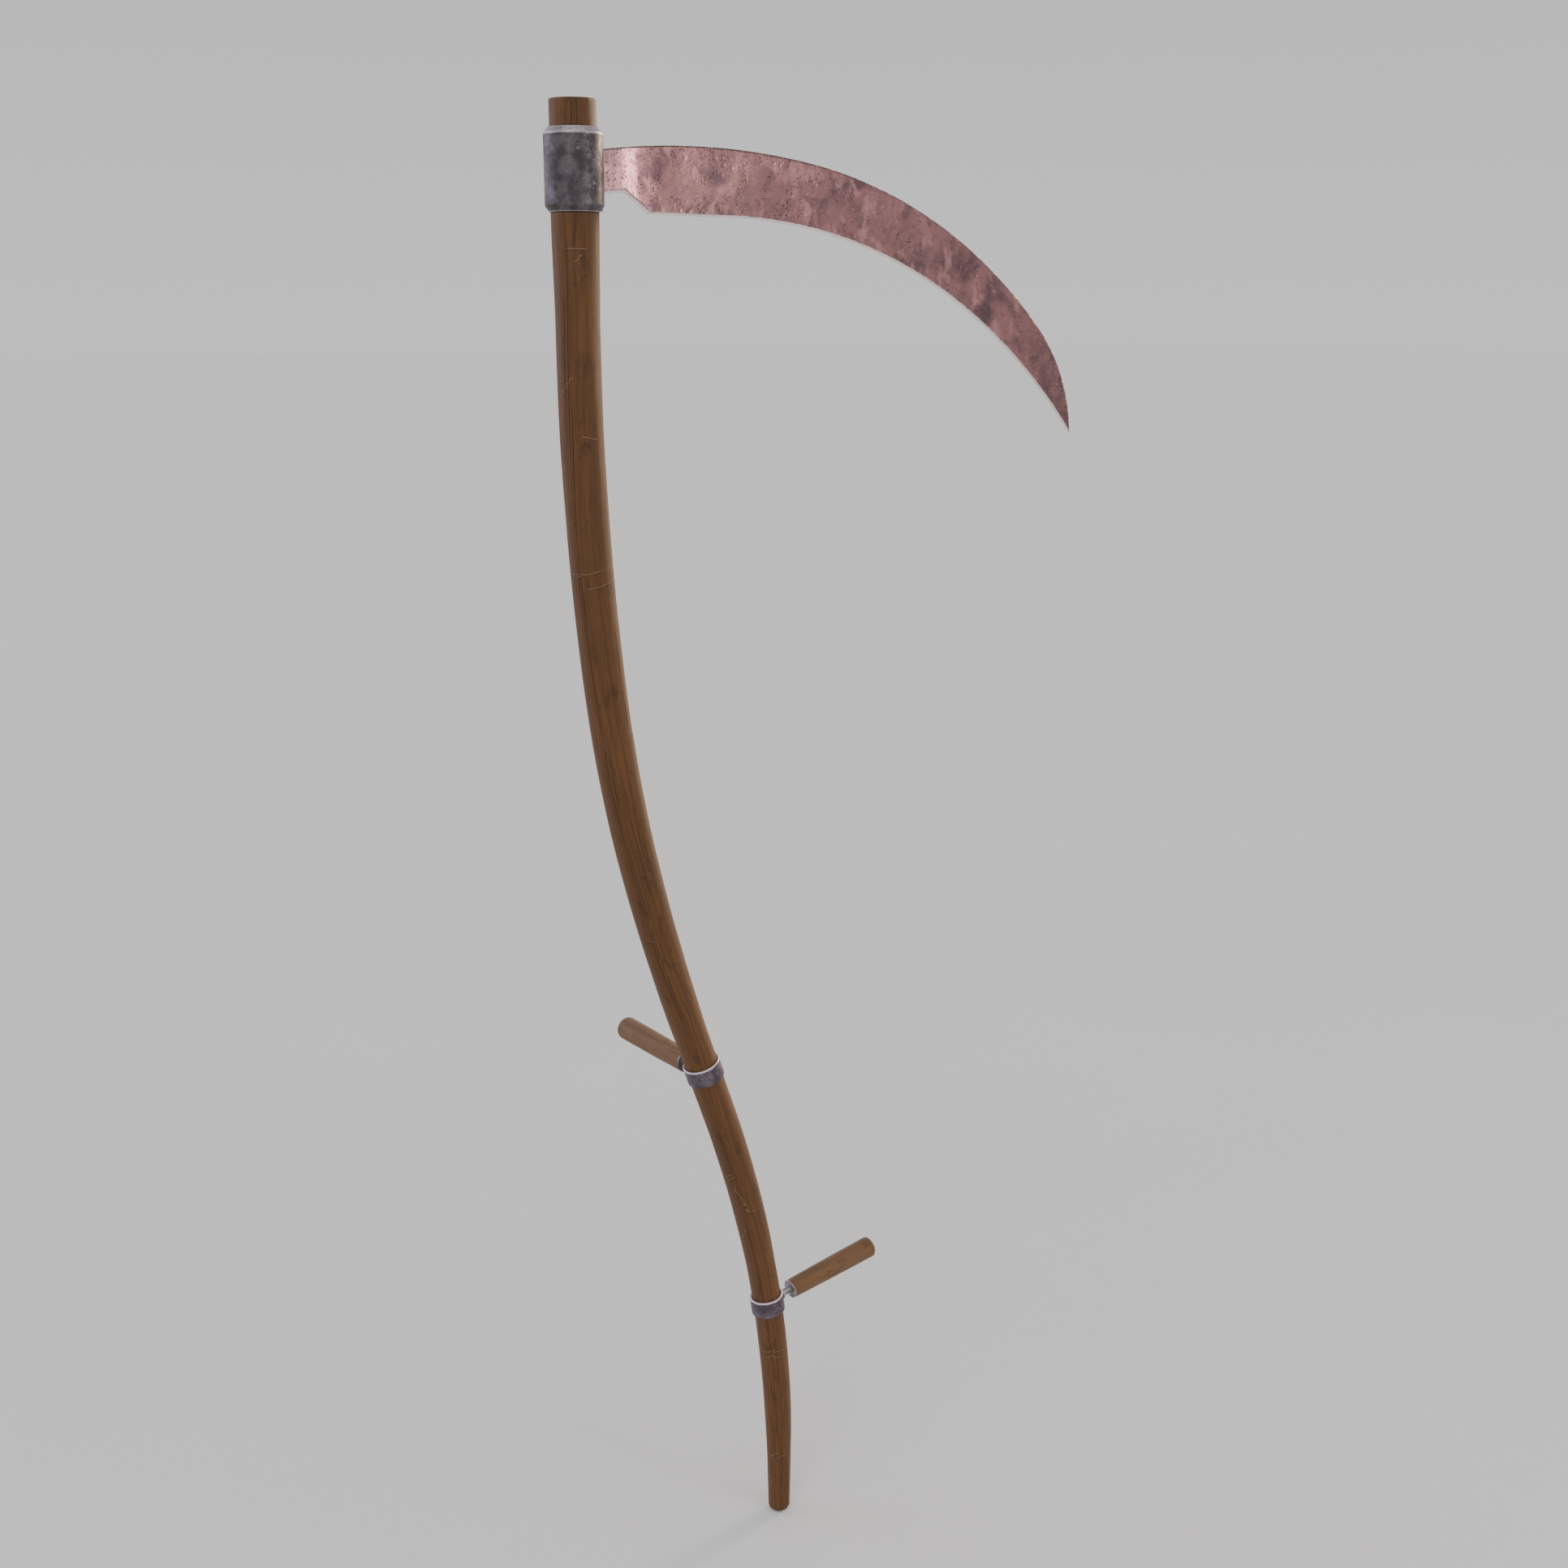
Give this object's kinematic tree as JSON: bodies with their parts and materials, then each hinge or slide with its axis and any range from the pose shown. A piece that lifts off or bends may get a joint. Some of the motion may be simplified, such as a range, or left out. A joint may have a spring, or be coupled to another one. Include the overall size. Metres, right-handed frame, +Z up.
{
  "type": "hand scythe",
  "caption": "Two-handed hand scythe: an S-bent wooden snath with a long curved steel blade in an iron collar, and two side nibs on iron rings.",
  "frame": {"origin": "centre of the small flat on the snath's butt, at the lower end", "axes": "+Z up the snath to the blade's end, +X the way the blade points, the snath's bends in the XZ plane; the upper nib points along +Y"},
  "size_m": [0.7083, 0.1991, 1.648],
  "materials": {
    "snath_wood": "old handled wood, oiled, long grain with fine cracks",
    "grip_wood": "turned wood, dull and hand-worn",
    "blade_steel": "forged, pitted and scratched, bright ground bevels",
    "collar_iron": "dark forged iron with dents and worn edges",
    "ring_iron": "dark iron band, rims worn bright",
    "hardware_steel": "worn steel",
    "packing_leather": "thin greased leather"
  },
  "bodies": {
    "snath": {"snath": "snath_wood"},
    "collar_sleeve": {"collar_packing": "packing_leather"},
    "head": {"blade_collar": "collar_iron", "blade": "blade_steel", "blade_key": "collar_iron", "collar_shoe": "collar_iron"},
    "lower_screw": {"lower_set_screw": "hardware_steel"},
    "upper_screw": {"upper_set_screw": "hardware_steel"},
    "upper_packing_sleeve": {"upper_nib_packing": "packing_leather"},
    "upper_ring": {"upper_nib_ring": "ring_iron"},
    "upper_stem": {"upper_nib_stem": "hardware_steel", "upper_nib_end_nut": "hardware_steel"},
    "upper_grip": {"upper_nib_grip": "grip_wood", "upper_nib_inner_washer": "hardware_steel", "upper_nib_outer_washer": "hardware_steel"},
    "lower_packing_sleeve": {"lower_nib_packing": "packing_leather"},
    "lower_ring": {"lower_nib_ring": "ring_iron"},
    "lower_stem": {"lower_nib_stem": "hardware_steel", "lower_nib_end_nut": "hardware_steel"},
    "lower_grip": {"lower_nib_grip": "grip_wood", "lower_nib_inner_washer": "hardware_steel", "lower_nib_outer_washer": "hardware_steel"}
  },
  "joints": [
    {"name": "head_slide", "type": "slide", "parent": "snath", "child": "collar_sleeve", "axis": [0, 0, 1], "range_m": [0, 0.1]},
    {"name": "head_swivel", "type": "hinge", "parent": "collar_sleeve", "child": "head", "pos_m": [-0.24491, 0, 1.58275], "axis": [0, 0, 1], "continuous": true},
    {"name": "lower_screw_turn", "type": "hinge", "parent": "head", "child": "lower_screw", "pos_m": [-0.24491, 0.033, 1.565], "axis": [0, 1, 0], "continuous": true},
    {"name": "upper_screw_turn", "type": "hinge", "parent": "head", "child": "upper_screw", "pos_m": [-0.24491, 0.033, 1.599], "axis": [0, 1, 0], "continuous": true},
    {"name": "upper_nib_slide", "type": "slide", "parent": "snath", "child": "upper_packing_sleeve", "axis": [-0.3338, 0, 0.9426], "range_m": [-0.05, 0.03]},
    {"name": "lower_nib_travel", "type": "hinge", "parent": "snath", "child": "lower_packing_sleeve", "pos_m": [-1.425, 0, 0.068], "axis": [0, -1, 0], "range_deg": [-1.8, 1.8]},
    {"name": "upper_nib_swivel", "type": "hinge", "parent": "upper_packing_sleeve", "child": "upper_ring", "pos_m": [-0.1058, 0, 0.61164], "axis": [-0.3338, 0, 0.9426], "continuous": true},
    {"name": "upper_clamp_turn", "type": "hinge", "parent": "upper_ring", "child": "upper_stem", "pos_m": [-0.10477, 0.03, 0.60872], "axis": [0, 1, 0], "continuous": true},
    {"name": "upper_grip_spin", "type": "hinge", "parent": "upper_stem", "child": "upper_grip", "pos_m": [-0.10477, 0.1, 0.60872], "axis": [0, 1, 0], "continuous": true},
    {"name": "lower_nib_swivel", "type": "hinge", "parent": "lower_packing_sleeve", "child": "lower_ring", "pos_m": [-0.01738, 0, 0.28986], "axis": [-0.1557, 0, 0.9878], "continuous": true},
    {"name": "lower_clamp_turn", "type": "hinge", "parent": "lower_ring", "child": "lower_stem", "pos_m": [0.01218, 0, 0.29503], "axis": [0.9878, 0, 0.1557], "continuous": true},
    {"name": "lower_grip_spin", "type": "hinge", "parent": "lower_stem", "child": "lower_grip", "pos_m": [0.08133, 0, 0.30593], "axis": [0.9878, 0, 0.1557], "continuous": true}
  ]
}
